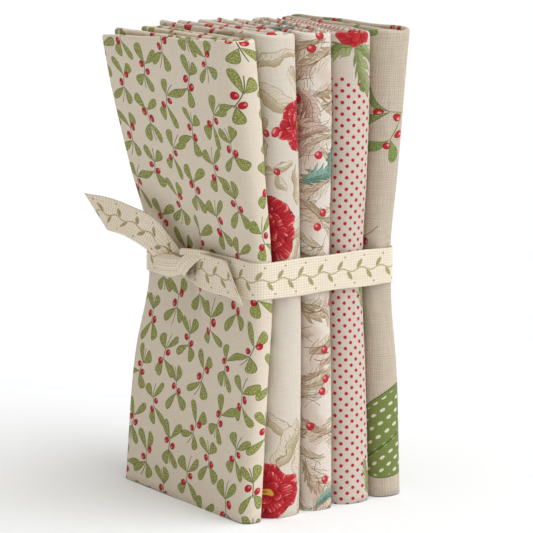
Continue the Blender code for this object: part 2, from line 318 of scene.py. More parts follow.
def cloth_points(piece, sides):
    """The sheet's points and their places in the flat cloth, by station and row."""
    order = PIECES.index(piece)
    ends = "open_top front_top back_top back_top third_top third_top second_top second_top"
    heights = along_stations([getattr(piece, end) for end in ends.split()])
    stations = len(heights)
    step = np.arange(stations)
    nose = STRETCHES[0].stations + STRETCHES[1].stations / 2
    dip = NOSE_DIP * np.exp(-(((step - nose) / NOSE_DIP_REACH) ** 2))
    wander = 0.3 * np.sin(step / 11 + 2 * order) + 0.25 * np.sin(step / 4.3 + order)
    tops = smoothed(heights, 4) - UNEVEN - dip + wander
    ends = STRETCHES[:1] + STRETCHES
    lofts = smoothed(along_stations(column_of(ends, "loft")), 5)
    outward = smoothed(along_stations(column_of(ends, "outward")), 5)

    # Where a piece has little room, its top folds are smaller.
    level = np.full((stations, 1), STACK_HEIGHT - ROOM_BELOW_TOP)
    y = plan_of(piece, sides, level)[1][:, 0]
    room = np.abs(meeting(sides[1], y, level[:, 0]) - meeting(sides[0], y, level[:, 0]))
    lofts = np.minimum(lofts, ROOM_SHARE * room - ROOM_KEPT)
    lofts = np.maximum(lofts, LAYER_OUT + 0.1)

    share = np.linspace(0, 1, LEAF_ROWS)
    shoulder = (tops - CROWN_RISE * lofts)[:, None]
    foot = UNEVEN + UNEVEN * np.sin(step / 9 + 1.3 * order)
    foot = np.where(foot < 0.2, 0, foot)[:, None]
    rise = foot + (shoulder - foot) * share
    arc = np.pi * np.arange(1, ARC_STEPS) / ARC_STEPS
    crown = shoulder + CROWN_RISE * lofts[:, None] * np.sin(arc)
    z = np.concatenate([rise, crown, rise[:, ::-1]], axis=1)

    depth = tops[:, None] - rise
    swell = 2 * (lofts[:, None] - LAYER_OUT) * np.exp(-((depth / LOFT_DEPTH) ** 1.5))
    outer = LAYER_OUT + outward[:, None] * swell
    inner = -LAYER_OUT - (1 - outward[:, None]) * swell
    middle = (outer[:, -1:] + inner[:, -1:]) / 2
    radius = (outer[:, -1:] - inner[:, -1:]) / 2
    offset = np.concatenate([outer, middle + radius * np.cos(arc), inner[:, ::-1]], axis=1)

    x, y = plan_of(piece, sides, z)
    side_x, side_y = printed_side(x, y)

    # The folds are a folded width apart in the flat cloth.
    mid_row = LEAF_ROWS * 3 // 4
    walked = far_along(np.hypot(np.diff(x[:, mid_row]), np.diff(y[:, mid_row])))
    counts = np.cumsum([0] + column_of(STRETCHES, "stations"))
    folds = [(counts[i] + counts[i + 1]) // 2 for i in (1, 3, 5)]
    marks = [walked[0]] + [walked[i] for i in folds] + [walked[-1]]
    u = np.interp(walked, marks, FOLDED_WIDTH * np.arange(5))

    offset = offset + crease_heights(piece, (u - FOLDED_WIDTH)[:, None], z)
    points = np.stack([x + offset * side_x, y + offset * side_y, z], axis=-1)
    turned_over = np.arange(z.shape[1]) >= LEAF_ROWS + ARC_STEPS // 2
    v = np.where(turned_over, CUT_HEIGHT - z, z)
    cloth = np.stack([u[:, None] + 0 * v, v], axis=-1)
    return points, cloth


def in_scene(name, data):
    """A new object in the scene."""
    thing = bpy.data.objects.new(name, data)
    bpy.context.scene.collection.objects.link(thing)
    return thing


def sheet_object(name, grids, thick, materials):
    """One object from grids of (points, places in the flat cloth), made solid to its real thickness."""
    vertices = []
    faces = []
    places = []
    count = 0
    for points, cloth in grids:
        rows, columns = points.shape[:2]
        index = np.arange(rows * columns).reshape(rows, columns) + count
        quads = np.stack([index[:-1, :-1], index[1:, :-1], index[1:, 1:], index[:-1, 1:]], axis=-1)
        vertices.append((points.reshape(-1, 3) + (STACK_X, STACK_Y, 0)) * MM)
        faces.append(quads.reshape(-1, 4))
        places.append(cloth.reshape(-1, 2) * MM)
        count += rows * columns
    faces = np.concatenate(faces)
    mesh = bpy.data.meshes.new(name)
    mesh.from_pydata(np.concatenate(vertices).tolist(), [], faces.tolist())
    layer = mesh.uv_layers.new(name="cloth")
    layer.data.foreach_set("uv", np.concatenate(places)[faces.ravel()].ravel())
    mesh.shade_smooth()
    for material in materials:
        mesh.materials.append(material)
    piece = in_scene(name, mesh)
    solid = piece.modifiers.new("cloth_thickness", "SOLIDIFY")
    solid.thickness = thick * MM
    solid.offset = 0
    solid.use_even_offset = False
    solid.material_offset = len(materials) - 1
    solid.material_offset_rim = len(materials) - 1
    return piece


# ---- the tape
TAPE_WIDTH = 21
TAPE_THICK = 0.6
TAPE_Z = 138
TAPE_GAP = 0.65
TAPE_COLUMNS = 22
CORNER_STEPS = 16
BAND_STEP = 2.5
KNOT_Y = 12

# Each tail and each strand of the knot: X, Y and Z of the tape's upper edge and of its lower edge, bow and
# pleating. Bow is 1 where its middle stands out to the front and -1 where its edges do.
LEFT_TAIL = [
    (-48.5, 10, 143.5, -48.5, 19, 137.5, 0.2, 0.8),
    (-50.2, 14.6, 147.5, -50, 24, 139, 0.2, 1.2),
    (-51.8, 19.5, 152.8, -51.6, 29, 140.5, 0.3, 1),
    (-54.5, 25, 160, -55, 37.5, 143.2, 0.4, 0.5),
    (-57, 32, 164.8, -58.5, 46, 147.6, 0.2, 0.2),
    (-60, 41, 167.8, -62, 56.8, 151.2, 0, 0),
    (-64, 64, 171.8, -65, 66, 152.6, 0, 0),
    (-67, 89, 172.3, -65.3, 68.5, 154.4, 0, 0),
]
RIGHT_TAIL = [
    (-49.6, 8, 143.6, -49.6, 7, 136, -0.4, 0.6),
    (-52, 2.5, 146.2, -53.2, 2.5, 135.2, -1.1, 0.5),
    (-52.8, -4, 147.6, -54.6, -1.5, 133.2, -1.25, 0.3),
    (-52.2, -13.5, 148.2, -53.6, -12, 128.8, -0.8, 0.1),
    (-50.8, -24.5, 147.4, -51.6, -26, 126.9, 0.2, 0),
    (-50.6, -35, 146.8, -51, -41, 126.4, 0.3, 0),
    (-51.2, -39, 143, -51.8, -53.4, 123.9, 0.3, 0),
]
KNOT_LOBE = [
    (-51.6, 2.5, 141.6, -51.6, 3, 136.5, 0.5, 0.3),
    (-52.6, 7, 142.8, -52.6, 7, 134.4, 0.8, 0.6),
    (-53, 13, 143.6, -53, 13.5, 132.2, 1.1, 0.7),
    (-52.8, 19, 143.4, -52.8, 19.5, 131.4, 1.15, 0.7),
    (-51.6, 25, 142, -51.6, 25, 131.8, 1.1, 0.7),
    (-48.8, 28.8, 141.2, -48.8, 28.8, 132.6, 1.1, 0.5),
    (-46.6, 26, 141, -46.6, 26, 133.5, 0.6, 0.3),
]
KNOT_CROSSING = [
    (-48.6, 9, 136.4, -48.6, 3.4, 133.6, 0.2, 0.1),
    (-53.2, 8, 138, -53.2, 1, 134, 0.3, 0.3),
    (-55.2, 4.8, 140.8, -55.2, -2.4, 136.4, 0.35, 0.5),
    (-55.4, 0.2, 143.8, -55.2, -6.4, 140, 0.35, 0.5),
    (-54, -4.2, 146.4, -53.6, -9.6, 143.8, 0.3, 0.3),
    (-51.4, -7.6, 148, -51.2, -11.4, 146.6, 0.2, 0.2),
    (-49, -8.6, 147.6, -49, -12, 146.4, 0.2, 0.1),
]
KNOT_TOP = [
    (-48, 10, 146, -48, 9.5, 143.2, 0.2, 0),
    (-52, 7.6, 147.8, -52.4, 7.4, 144.6, 0.4, 0.1),
    (-54, 3, 149, -54.6, 3, 145.6, 0.45, 0.1),
    (-54.2, -2.4, 149.6, -54.8, -2.4, 146.2, 0.45, 0.1),
    (-53.2, -8, 149.8, -53.6, -8.4, 146.8, 0.4, 0.1),
    (-51, -12.5, 149.4, -51.2, -13.2, 147.2, 0.3, 0),
    (-48.4, -16.5, 148.6, -48.4, -17, 147, 0.1, 0),
]
# Each strand, the share of the tape's width that it shows, and whether the vine is on its outside.
STRANDS = [
    (LEFT_TAIL, 1, True),
    (RIGHT_TAIL, 1, True),
    (KNOT_LOBE, 1, False),
    (KNOT_CROSSING, 1, False),
    (KNOT_TOP, 0.3, False),
]
STRAND_STEPS = 9
PLEAT_DEPTH = 0.7
PLEATS = 5
BOW_SHARE = 0.62  # a bowed strand is this much flatter than an arc
FACES_FRONT = 0.3  # past this, a strand faces the front rather than up
GATHER_REACH = 13  # the band narrows this near the knot
GATHER_SHARE = 0.42  # by this share of its width


def hull(points):
    """The convex outline of flat points, anticlockwise."""
    points = sorted(set(map(tuple, points)))

    def chain(order):
        line = []
        for p in order:
            while len(line) > 1:
                a, b = line[-2:]
                if (b[0] - a[0]) * (p[1] - a[1]) > (b[1] - a[1]) * (p[0] - a[0]):
                    break
                line.pop()
            line.append(p)
        return line[:-1]

    return chain(points) + chain(points[::-1])


def band_grid(held):
    """The taut band round the flat points held, from the knot and back to it."""
    away = TAPE_GAP + TAPE_THICK / 2
    corners = []
    for x, y in hull(held):
        for step in range(CORNER_STEPS):
            angle = 2 * pi * step / CORNER_STEPS
            corners.append((x + away * cos(angle), y + away * sin(angle)))
    outline = np.array(hull(corners))
    outline = np.concatenate([outline, outline[:1]])
    walked = far_along(np.hypot(*np.diff(outline, axis=0).T))
    whole = walked[-1]

    def outline_at(places):
        return [np.interp(places, walked, axis) for axis in outline.T]

    # The walk starts on the front, at the knot.
    dense = np.linspace(0, whole, 2000)
    x, y = outline_at(dense)
    start = dense[np.argmin(np.abs(y - KNOT_Y) + 1000 * (x > 0))]
    route = np.linspace(0, whole, round(whole / BAND_STEP))
    x, y = outline_at((route + start) % whole)
    side_x, side_y = printed_side(x, y)
    across = np.linspace(-1, 1, TAPE_COLUMNS)
    from_knot = np.minimum(route, whole - route)[:, None]
    gathered = np.exp(-((from_knot / GATHER_REACH) ** 2))
    half = TAPE_WIDTH / 2 * (1 - GATHER_SHARE * gathered)
    edge_wander = 0.25 * np.sin(route / 17)[:, None] + 0.2 * np.sin(route / 7.1)[:, None] * across
    z = TAPE_Z + half * across + edge_wander
    out = 0.5 * gathered * np.cos(3 * np.pi * across) + 0.12 * np.sin(route / 9)[:, None] * across
    points = np.stack([x[:, None] + out * side_x[:, None], y[:, None] + out * side_y[:, None], z], axis=-1)
    cloth = np.stack(np.broadcast_arrays(route[:, None], TAPE_WIDTH / 2 * (1 + across)), axis=-1)
    return points, cloth


def strand_grid(rows, shown, printed_outside, start_place):
    """A strand of tape between its two edges. Where they are closer than its width, it bows."""
    breadth = TAPE_WIDTH * shown
    steps = (len(rows) - 1) * STRAND_STEPS + 1
    at = np.linspace(0, len(rows) - 1, steps)
    columns = [curve(range(len(rows)), column, at) for column in zip(*rows)]
    upper = np.stack(columns[0:3], axis=-1)
    lower = np.stack(columns[3:6], axis=-1)
    bow, gather = (column[:, None] for column in columns[6:])
    chord = upper - lower
    width = np.linalg.norm(chord, axis=1, keepdims=True)
    middle = (upper + lower) / 2
    along = np.gradient(middle, axis=0)
    out = np.cross(chord, along)
    out /= np.linalg.norm(out, axis=1, keepdims=True)
    outwards = np.sign(-out[:, :1]) if abs(out[steps // 2, 0]) > FACES_FRONT else np.ones((steps, 1))
    out *= outwards
    # The arc that has the strand's breadth over this chord.
    turns = np.linspace(0.01, 3, 400)
    half_angle = np.interp(-np.clip(width / breadth, 0, 1), -np.sin(turns) / turns, turns)
    radius = breadth / 2 / half_angle
    across = np.linspace(-1, 1, TAPE_COLUMNS)
    angle = half_angle * across
    along_chord = np.where(width < breadth, radius * np.sin(angle), width / 2 * across)
    depth = bow * radius * (np.cos(angle) - np.cos(half_angle)) * BOW_SHARE
    pleat = PLEAT_DEPTH * gather * np.cos(PLEATS * np.pi * across)
    points = middle[:, None] + along_chord[..., None] * (chord / width)[:, None]
    points = points + (depth + pleat)[..., None] * out[:, None]
    walked = start_place + far_along(np.linalg.norm(np.diff(middle, axis=0), axis=1))
    cloth = np.stack(np.broadcast_arrays(walked[:, None], TAPE_WIDTH / 2 + breadth / 2 * across), axis=-1)
    if (outwards[steps // 2, 0] > 0) == printed_outside:
        return points[:, ::-1], cloth[:, ::-1]
    return points, cloth


# ---- finishes
def linear(hex_colour):
    """An sRGB hex colour as the linear colour that a shader takes."""
    parts = [int(hex_colour[i : i + 2], 16) / 255 for i in (1, 3, 5)]
    return [p / 12.92 if p <= 0.04045 else ((p + 0.055) / 1.055) ** 2.4 for p in parts] + [1]


def add(tree, kind, *values, output=0, **settings):
    """Adds a shader node of a kind, which may name its operation, with its settings. Each open input gets its
    link, its value or its hex colour. Returns an output."""
    kind, _, operation = kind.partition(" ")
    if operation:
        settings["operation"] = operation
    node = tree.nodes.new("ShaderNode" + kind)
    for name, setting in settings.items():
        setattr(node, name, setting)
    sockets = [socket for socket in node.inputs if socket.enabled]
    for socket, value in zip(sockets, values):
        if isinstance(value, bpy.types.NodeSocket):
            tree.links.new(value, socket)
        elif isinstance(value, str):
            socket.default_value = linear(value)
        elif value is not None:
            socket.default_value = value
    shown = [socket for socket in node.outputs if socket.enabled]
    return node.outputs[output] if isinstance(output, str) else shown[output]


# How far apart each cloth's threads are both ways, and how unevenly they run.
COTTON_THREADS = (1.05, 1.05, 1.2)  # really 0.36 apart, which is too fine to show, so they are drawn coarser
LINEN_THREADS = (1.3, 1.3, 2.5)  # a linen look's slubs and thick yarns show about this far apart
TAPE_THREADS = (1.7, 1.5, 0.4)  # the tape's basket weave, along it and across it
WAVE = pi / 10  # a wave texture's period at scale 1


# Below, draw is add for one material's nodes.
def cloth_places(draw, from_x=0.0):
    """Millimetres in the flat cloth: X from from_x, Y from the cut edge."""
    flat = draw("UVMap", uv_map="cloth")
    return draw("VectorMath MULTIPLY_ADD", flat, (1 / MM, 1 / MM, 0), (-from_x, 0, 0))


def hand_drawn(draw, cloth, scale, reach, detail=0):
    """The places pushed about softly, so that what is drawn on them isn't ruled."""
    push = draw("TexNoise", cloth, scale, detail, output="Color", noise_dimensions="2D")
    pushed = draw("VectorMath MULTIPLY_ADD", push, (reach, reach, 0), cloth)
    return draw("VectorMath SUBTRACT", pushed, (reach / 2, reach / 2, 0))


def motif_place(draw, cloth, repeat, x, y, turn):
    """The cloth from a motif's own middle and way round, in every repeat of the print."""
    place = draw("VectorMath SUBTRACT", cloth, (x, y, 0))
    most = (repeat[0] / 2, repeat[1] / 2, 1)
    least = (-repeat[0] / 2, -repeat[1] / 2, -1)
    place = draw("VectorMath WRAP", place, most, least)
    return draw("VectorRotate", place, None, -radians(turn), rotation_type="Z_AXIS")


def scattered_places(draw, cloth, spacing, shift, loose, turns):
    """The cloth from the nearest of many loose places, turned by chance, and two more chances."""
    across, up = spacing
    scaled = draw("VectorMath MULTIPLY_ADD", cloth, (1 / across, 1 / up, 0), shift)
    middle = draw("TexVoronoi", scaled, 1, 0, 0.5, 2, loose, output="Position", voronoi_dimensions="2D")
    place = draw("VectorMath SUBTRACT", scaled, middle)
    place = draw("VectorMath MULTIPLY", place, (across, up, 0))
    chance = draw("SeparateColor", middle.node.outputs["Color"], output="Red")
    spin = draw("MapRange", chance, 0, 1, radians(turns[0]), radians(turns[1]))
    place = draw("VectorRotate", place, None, spin, rotation_type="Z_AXIS")
    return place, chance.node.outputs["Green"], chance.node.outputs["Blue"]


def screen(draw, below, ink, shape, outside, inside, strength=1):
    """One screen of ink over what is printed already, where shape goes from outside to inside."""
    mask = draw("MapRange", shape, outside, inside, 0, strength, interpolation_type="SMOOTHSTEP")
    return draw("Mix", mask, below, ink, data_type="RGBA")


TOOTH_SLANT = 0.9  # a toothed leaf's teeth point forwards
TOOTH_DEPTH = 0.5  # as a share of the leaf


def leaf_shape(draw, place, length, width, low, tip, tooth=0):
    """A leaf along X from its stalk: above 0 inside it, and its rise for each millimetre in from the edge."""
    widest = low / (low + tip)
    half = widest**low * (1 - widest) ** tip
    per_mm = 2 * half / width
    x = draw("SeparateXYZ", place)
    along = draw("Math DIVIDE", x, length)
    rest = draw("Math SUBTRACT", 1, along)
    rise = draw("Math POWER", along, low)
    fall = draw("Math POWER", rest, tip)
    outline = draw("Math MULTIPLY", rise, fall)
    away = draw("Math ABSOLUTE", x.node.outputs["Y"])
    if tooth:
        ahead = draw("Math MULTIPLY_ADD", away, -TOOTH_SLANT, x)
        ahead = draw("Math DIVIDE", ahead, tooth)
        ahead = draw("Math FRACT", ahead)
        cut = draw("MapRange", ahead, 0, 1, 1 - TOOTH_DEPTH, 1)
        outline = draw("Math MULTIPLY", outline, cut)
    return draw("Math MULTIPLY_ADD", away, -per_mm, outline), per_mm


def print_leaf(draw, below, leaf, fill, outline, line):
    """A leaf in two screens: its outline, then the fill inside that line."""
    shape, per_mm = leaf
    below = screen(draw, below, outline, shape, 0, 0.25 * per_mm)
    return screen(draw, below, fill, shape, line * per_mm, (line + 0.35) * per_mm)


def print_vein(draw, below, place, leaf, length, half_width, ink):
    """A leaf's middle vein."""
    x = draw("SeparateXYZ", place)
    off = draw("Math ABSOLUTE", x.node.outputs["Y"])
    taper = draw("MapRange", x, 0, length, half_width, half_width * 0.3)
    line = draw("Math SUBTRACT", taper, off)
    line = draw("Math MINIMUM", line, leaf[0])
    return screen(draw, below, ink, line, 0, 0.15)


def print_berry(draw, below, place, radius, fill, rim, shine):
    """A round berry: dark rim, fill and a small highlight to one side."""
    away = draw("VectorMath LENGTH", place)
    below = screen(draw, below, rim, away, radius, radius * 0.86)
    below = screen(draw, below, fill, away, radius * 0.9, radius * 0.6)
    glint = draw("VectorMath DISTANCE", place, (-0.32 * radius, 0.3 * radius, 0))
    return screen(draw, below, shine, glint, radius * 0.45, radius * 0.2, 0.8)


def beside_stem(draw, place, bend):
    """X along a stem that bends to one side, and Y the distance from it, the same on both sides."""
    x = draw("SeparateXYZ", place)
    square = draw("Math MULTIPLY", x, x)
    off = draw("Math MULTIPLY_ADD", square, bend, x.node.outputs["Y"])
    off = draw("Math ABSOLUTE", off)
    return draw("CombineXYZ", x, off, 0)


def print_stem(draw, below, stem, start, end, half_width, ink):
    """A thin stem between two places along it."""
    x = draw("SeparateXYZ", stem)
    within = draw("Math COMPARE", x, (start + end) / 2, abs(end - start) / 2)
    reach = draw("Math MULTIPLY", within, half_width)
    line = draw("Math SUBTRACT", reach, x.node.outputs["Y"])
    return screen(draw, below, ink, line, 0, half_width * 0.6)


def print_leaf_pair(draw, below, stem, start, way, opening, length, width, fill, outline):
    """A paddle leaf each side of a stem, pointing forwards where way is 1 and back where it is -1."""
    place = draw("VectorMath MULTIPLY_ADD", stem, (way, 1, 0), (-way * start, 0, 0))
    place = draw("VectorRotate", place, None, opening, rotation_type="Z_AXIS")
    return print_leaf(draw, below, leaf_shape(draw, place, length, width, 1.2, 0.42), fill, outline, 0.3)


RIB_STEP = 2.1  # between a brushed leaf's ribs
RIB_SLANT = 0.8


def brush_strokes(draw, place, along, across):
    """Fine strokes along X, as from a dry brush."""
    stretched = draw("VectorMath MULTIPLY", place, (along, across, 1))
    return draw("TexNoise", stretched, 1, 2, 0.6, noise_dimensions="2D")


def print_brushed_leaf(draw, below, place, length, width, light, dark, line, tooth=0):
    """A leaf shaded with a dry brush: dark on one side of its vein, with thin ribs and a thin outline."""
    leaf = leaf_shape(draw, place, length, width, 0.8, 0.7, tooth)
    strokes = brush_strokes(draw, place, 0.22, 1.7)
    x = draw("SeparateXYZ", place)
    y = x.node.outputs["Y"]
    side = draw("Math MULTIPLY_ADD", y, 1.1 / width, strokes)
    side = draw("MapRange", side, 0.20, 0.60)
    shade = draw("Mix", side, dark, light, data_type="RGBA")
    off = draw("Math ABSOLUTE", y)
    ribs = draw("Math MULTIPLY_ADD", off, -RIB_SLANT, x)
    ribs = draw("Math MULTIPLY", ribs, 2 * pi / RIB_STEP)
    ribs = draw("Math SINE", ribs)
    ribs = draw("Math ADD", ribs, strokes)
    shade = screen(draw, shade, line, ribs, 1.25, 1.55, 0.55)
    below = print_leaf(draw, below, leaf, shade, line, 0.25)
    return print_vein(draw, below, place, leaf, length, 0.35, line)


def print_brushed_leaves(draw, below, cloth, repeat, leaves, *inks_and_tooth):
    """Brushed leaves, each at its own place in the repeat."""
    for x, y, turn, length, width in leaves:
        place = motif_place(draw, cloth, repeat, x, y, turn)
        below = print_brushed_leaf(draw, below, place, length, width, *inks_and_tooth)
    return below


def print_berries(draw, below, cloth, repeat, berries, *inks):
    """Berries, each at its own place in the repeat."""
    for x, y in berries:
        place = motif_place(draw, cloth, repeat, x, y, 0)
        below = print_berry(draw, below, place, 2.5, *inks)
    return below


# Each ring of a rose: how many petals, where they start, how far they reach, and how the ring is turned.
ROSE_RINGS = ((7, 0.42, 0.60, 0.2), (6, 0.22, 0.52, 0.9), (5, 0.06, 0.42, 0.4))


def print_rose(draw, below, place, lip):
    """A full-blown rose of radius 1: rings of petals, streaked and pale at the lip, round a yellow heart."""
    x = draw("SeparateXYZ", place)
    away = draw("VectorMath LENGTH", place)
    angle = draw("Math ARCTAN2", x.node.outputs["Y"], x)
    petal_ink = [(0, "#6B0A14"), (0.32, "#93101B"), (0.66, "#B31E2A"), (0.88, "#C4393F"), (1, lip)]
    for petals, start, reach, turn in ROSE_RINGS:
        sector = pi / petals
        within = draw("Math ADD", angle, turn)
        within = draw("Math WRAP", within, sector, -sector)
        ahead = draw("Math COSINE", within)
        ahead = draw("Math MULTIPLY", ahead, away)
        ahead = draw("Math SUBTRACT", ahead, start)
        beside = draw("Math SINE", within)
        beside = draw("Math MULTIPLY", beside, away)
        petal = draw("CombineXYZ", ahead, beside, 0)
        width = 2.5 * (start + 0.55 * reach) * tan(sector)
        shape, per_mm = leaf_shape(draw, petal, reach, width, 0.6, 0.32)
        strokes = brush_strokes(draw, petal, 3, 22)
        tone = draw("Math MULTIPLY_ADD", ahead, 0.75 / reach, strokes)
        tone = draw("Math SUBTRACT", tone, 0.30)
        ink = draw("ValToRGB", tone)
        ramp = ink.node.color_ramp
        for stop, _ in petal_ink[1:-1]:
            ramp.elements.new(stop)
        for element, (stop, colour) in zip(ramp.elements, petal_ink):
            element.position = stop
            element.color = linear(colour)
        below = screen(draw, below, "#6F0C17", shape, 0, 0.03 * per_mm)
        below = screen(draw, below, ink, shape, 0.03 * per_mm, 0.07 * per_mm)
    below = screen(draw, below, "#D9A441", away, 0.20, 0.14)
    return screen(draw, below, "#A8702A", away, 0.08, 0.05)


def nearest_rose(draw, cloth, repeat, roses):
    """The cloth from the middle of the nearest of several roses, counted in that rose's radius."""
    nearest = None
    for x, y, turn, radius in roses:
        place = motif_place(draw, cloth, repeat, x, y, turn)
        place = draw("VectorMath MULTIPLY", place, (1 / radius,) * 3)
        if nearest is None:
            nearest = place
            continue
        away = draw("VectorMath LENGTH", place)
        nearest_away = draw("VectorMath LENGTH", nearest)
        closer = draw("Math LESS_THAN", away, nearest_away)
        nearest = draw("Mix", closer, nearest, place, data_type="VECTOR")
    return nearest


def stipple(draw, cloth, light, dark):
    """A leaf's green, lighter in small dabs."""
    dabs = draw("TexNoise", cloth, 1.1, 2, 0.6, noise_dimensions="2D")
    dabs = draw("MapRange", dabs, 0.42, 0.60)
    return draw("Mix", dabs, dark, light, data_type="RGBA")


def woven(draw, cloth, warp_pitch, weft_pitch, uneven):
    """The height of a plain weave: 1 on the threads, 0 in the holes between them."""
    loose = hand_drawn(draw, cloth, 0.09, uneven)
    warp = draw("TexWave", loose, WAVE / warp_pitch, 0, output="Fac", bands_direction="X")
    weft = draw("TexWave", loose, WAVE / weft_pitch, 0, output="Fac", bands_direction="Y")
    return draw("Math MAXIMUM", warp, weft)


def yarn_ground(draw, cloth, light, dark, fineness=1.2, length=12):
    """The ground's colour, which changes a little from thread to thread both ways."""
    shares = []
    for stretch in ((fineness, fineness / length, 1), (fineness / length, fineness, 1)):
        along = draw("VectorMath MULTIPLY", cloth, stretch)
        shares.append(draw("TexNoise", along, 1, 1, noise_dimensions="2D"))
    uneven = draw("Math ADD", *shares)
    uneven = draw("MapRange", uneven, 0.75, 1.25)
    return draw("Mix", uneven, light, dark, data_type="RGBA")


def matt(name, roughness, shine):
    """A new matt material, its shader and its draw."""
    material = bpy.data.materials.new(name)
    material.use_nodes = True
    shader = material.node_tree.nodes["Principled BSDF"]
    shader.inputs["Roughness"].default_value = roughness
    shader.inputs["Specular IOR Level"].default_value = shine
    return material, shader, partial(add, material.node_tree)


def new_cloth(name, colour_of, threads=COTTON_THREADS, hole_shade=0.06, relief=0.12, roughness=0.88):
    """A matt cloth: its colour, with painted shade darkening the weave's holes, and the threads as bump."""
    material, shader, draw = matt(name, roughness, 0.22)
    weave = woven(draw, cloth_places(draw), *threads)
    colour = colour_of(draw)
    # Painted shade: the colour is darkened in the holes between the threads.
    tone = draw("MapRange", weave, 0.15, 0.75, 1 - hole_shade, 1)
    colour = draw("VectorMath MULTIPLY", colour, tone)
    bump = draw("Bump", 0.4, relief * MM, None, weave)
    material.node_tree.links.new(colour, shader.inputs["Base Color"])
    material.node_tree.links.new(bump, shader.inputs["Normal"])
    shader.inputs["Sheen Weight"].default_value = 0.10
    shader.inputs["Sheen Roughness"].default_value = 0.45
    return material


# Each kind of sprig: its shift in the repeat, its stem's bend, its leaf pairs (start, way, opening, length)
# and its berries.
SPRIG_SPACING = (41, 31)
SPRIGS = [
    ((0.13, 0.41, 0), 0.016, ((2, 1, 45, 12.8), (-4, -1, 36, 11.4)), ((1.2, 2.7), (-1.8, -2.9))),
    ((0.63, 0.91, 0), -0.020, ((3.2, 1, 40, 12), (-2.6, -1, 44, 12.4)), ((4.6, -2.6), (-0.8, 2.9))),
]


def sprig_print(draw):
    """Tossed sprigs on cream: two pairs of paddle leaves with red berries, which stand or hang."""
    cloth = cloth_places(draw, FOLDED_WIDTH)
    colour = yarn_ground(draw, cloth, "#E6DAC9", "#E1D4C1")
    green = stipple(draw, cloth, "#AFB171", "#7C8239")
    edge = "#5F6A2E"
    drawn = hand_drawn(draw, cloth, 0.04, 5)
    lattice = draw("VectorRotate", drawn, None, radians(9), rotation_type="Z_AXIS")
    berries = []
    for shift, bend, pairs, berry_places in SPRIGS:
        place, second, third = scattered_places(draw, lattice, SPRIG_SPACING, shift, 0.08, (69, 111))
        hangs = draw("Math GREATER_THAN", third, 0.5)
        way_up = draw("Math MULTIPLY_ADD", hangs, 2, -1)
        place = draw("VectorMath SCALE", place, way_up)
        stem = beside_stem(draw, place, bend)
        colour = print_stem(draw, colour, stem, -13, 4, 0.4, edge)
        for start, way, opening, length in pairs:
            least, most = (radians(-opening - spread) for spread in (-7, 7))
            turned = draw("MapRange", second, 0, 1, least, most)
            colour = print_leaf_pair(draw, colour, stem, start, way, turned, length, 5.9, green, edge)
        berries += [(place, spot) for spot in berry_places]
    for place, (x_berry, y_berry) in berries:
        berry = draw("VectorMath SUBTRACT", place, (x_berry, y_berry, 0))
        colour = print_berry(draw, colour, berry, 2.25, "#BC202B", "#8A121D", "#E2827F")
    return colour


# The other prints' motifs, which come back after each repeat. A leaf is X, Y, turn, length and width, and a
# rose X, Y, turn and radius. X is millimetres from the outer fold, less than 0 on the front leaf, and Y from
# the cut edge. Turn is in degrees, anticlockwise from X.
ROSE_REPEAT = (140, 290)
ROSES = [(11, 224, 20, 15), (-18, 165, 70, 20), (-11, 15, 0, 15.5), (50, 277, 10, 6)]
ROSE_LEAVES = [
    (-17, 257, 22, 22, 8), (-2, 262, 14, 14, 6), (-24, 248, -26, 36, 12), (14, 238, 120, 22, 8),
    (-20, 220, 46, 14, 7), (-13, 216, -95, 14, 6), (-8, 201, 15, 11, 6), (-7, 198, 165, 11, 6),
    (-6, 197, -70, 11, 6), (4, 202, -86, 24, 6), (1, 148, 70, 20, 10), (-3, 158, 46, 20, 9),
    (-16, 62, -40, 26, 9), (-8, 26, 66, 34, 10), (5, 18, 84, 28, 10), (6, 0, 62, 22, 8),
    (24, 272, 200, 18, 7), (70, 278, 170, 24, 9), (84, 272, 10, 22, 8),
]
ROSE_BERRIES = [(-12, 221), (-6, 221), (-6, 199), (32, 274), (78, 274), (112, 276)]


def rose_print(draw):
    """Full-blown red roses and brushed tan leaves, on cream."""
    cloth = cloth_places(draw, FOLDED_WIDTH)
    colour = yarn_ground(draw, cloth, "#DFD6C9", "#DACFC1")
    drawn = hand_drawn(draw, cloth, 0.10, 7, 1)
    ragged = hand_drawn(draw, drawn, 0.45, 0.7)
    inks = ("#DCD1BF", "#B6A583", "#9C8864")
    colour = print_brushed_leaves(draw, colour, ragged, ROSE_REPEAT, ROSE_LEAVES, *inks)
    colour = print_rose(draw, colour, nearest_rose(draw, drawn, ROSE_REPEAT, ROSES), "#E89D95")
    return print_berries(draw, colour, drawn, ROSE_REPEAT, ROSE_BERRIES, "#CC3340", "#8E1420", "#EFA0A0")


FOLIAGE_REPEAT = (120, 280)
FOLIAGE_BERRIES = [(-0.5, 273), (-5, 266), (-2.5, 206), (0.5, 173), (-3, 165), (1, 94), (1.5, 77), (-1, 70),
                   (-8, 50), (1, 18), (-13, 238), (8, 120), (40, 276), (62, 274), (96, 276)]
# Each layer's shift in the repeat, and its leaves' length, width, light ink and dark ink.
FOLIAGE_LAYERS = (
    ((0.2, 0.3, 0), 22, 11.5, "#DFD3C3", "#B0997A"),
    ((0.7, 0.8, 0), 24, 12, "#E4DACC", "#C0AE8F"),
    ((0.45, 0.1, 0), 19, 10, "#DBCEBB", "#A08865"),
)
SPRAY_BENDS = (-0.05, 0.03)
DUSTY_LEAVES = [(-16, 245, -55, 26, 12), (-17, 228, -22, 22, 11), (-15, 217, 20, 18, 9)]
TEAL_LEAVES = [(-11, 192, 14, 26, 11), (14, 216, -118, 26, 8), (-4, 2, 30, 20, 9), (70, 270, 20, 24, 9)]


